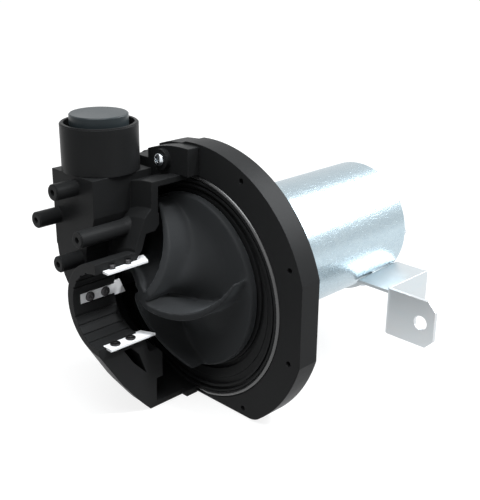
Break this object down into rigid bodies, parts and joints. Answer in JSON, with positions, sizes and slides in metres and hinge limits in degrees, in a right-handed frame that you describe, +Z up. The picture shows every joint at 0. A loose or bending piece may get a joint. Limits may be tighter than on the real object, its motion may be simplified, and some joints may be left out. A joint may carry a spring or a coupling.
{
  "type": "macerator toilet pump",
  "caption": "Electric macerator pump shown as a half section: flanged chamber with volute, vaned impeller, shear blades, upright outlet with hose tails, can motor and bracket.",
  "frame": {"origin": "centre of the inlet's mouth, on the shaft's axis", "axes": "+Y along the shaft from the inlet to the motor, +Z up along the outlet, +X to the side where the front housing is cut away"},
  "size_m": [0.1677, 0.218, 0.1611],
  "materials": {
    "housing_plastic": "satin moulded black plastic",
    "plug_plastic": "satin grey plastic",
    "impeller_plastic": "smooth satin black plastic",
    "blade_steel": "polished stainless sheet",
    "dark_steel": "blackened screw steel",
    "zinc_steel": "bright zinc plate",
    "bright_steel": "ground steel",
    "can_zinc": "zinc-plated, pale blue with fine spangle",
    "bracket_steel": "satin zinc plate",
    "cast_aluminium": "die cast",
    "core_steel": "stacked dark laminations",
    "winding_copper": "lacquered copper wire",
    "commutator_copper": "turned copper",
    "ferrite": "matt fired ferrite",
    "carbon": "dull carbon",
    "ceramic": "lapped ceramic",
    "card_board": "phenolic board",
    "bush_bronze": "sintered bronze",
    "seal_rubber": "smooth black rubber"
  },
  "bodies": {
    "pump": {"back_flange": "housing_plastic", "front_housing": "housing_plastic", "discharge_spigot": "housing_plastic", "shear_blade_top": "blade_steel", "shear_blade_side": "blade_steel", "shear_blade_bottom": "blade_steel", "blade_screws": "dark_steel", "housing_screws": "zinc_steel", "housing_seal": "seal_rubber", "seal_seat": "ceramic", "front_bearing": "bright_steel", "motor_end_plate": "cast_aluminium", "motor_screws": "zinc_steel", "motor_can": "can_zinc", "magnet_upper": "ferrite", "magnet_lower": "ferrite", "brush_card": "card_board", "brushes": "carbon", "brush_springs": "bright_steel", "rear_bush": "bush_bronze", "through_bolts": "zinc_steel", "lead_grommet": "seal_rubber", "mounting_bracket": "bracket_steel", "bracket_screws": "zinc_steel"},
    "rotor": {"shaft": "bright_steel", "impeller": "impeller_plastic", "impeller_pin": "zinc_steel", "seal_ring": "carbon", "seal_spring": "zinc_steel", "armature_core": "core_steel", "armature_winding": "winding_copper", "commutator": "commutator_copper"},
    "plug": {"outlet_plug": "plug_plastic"}
  },
  "joints": [
    {"name": "rotor_spin", "type": "hinge", "parent": "pump", "child": "rotor", "pos_m": [0, 0.0645, 0], "axis": [0, 1, 0], "continuous": true},
    {"name": "plug_pull", "type": "slide", "parent": "pump", "child": "plug", "axis": [0, 0, 1], "range_m": [0, 0.035]}
  ]
}
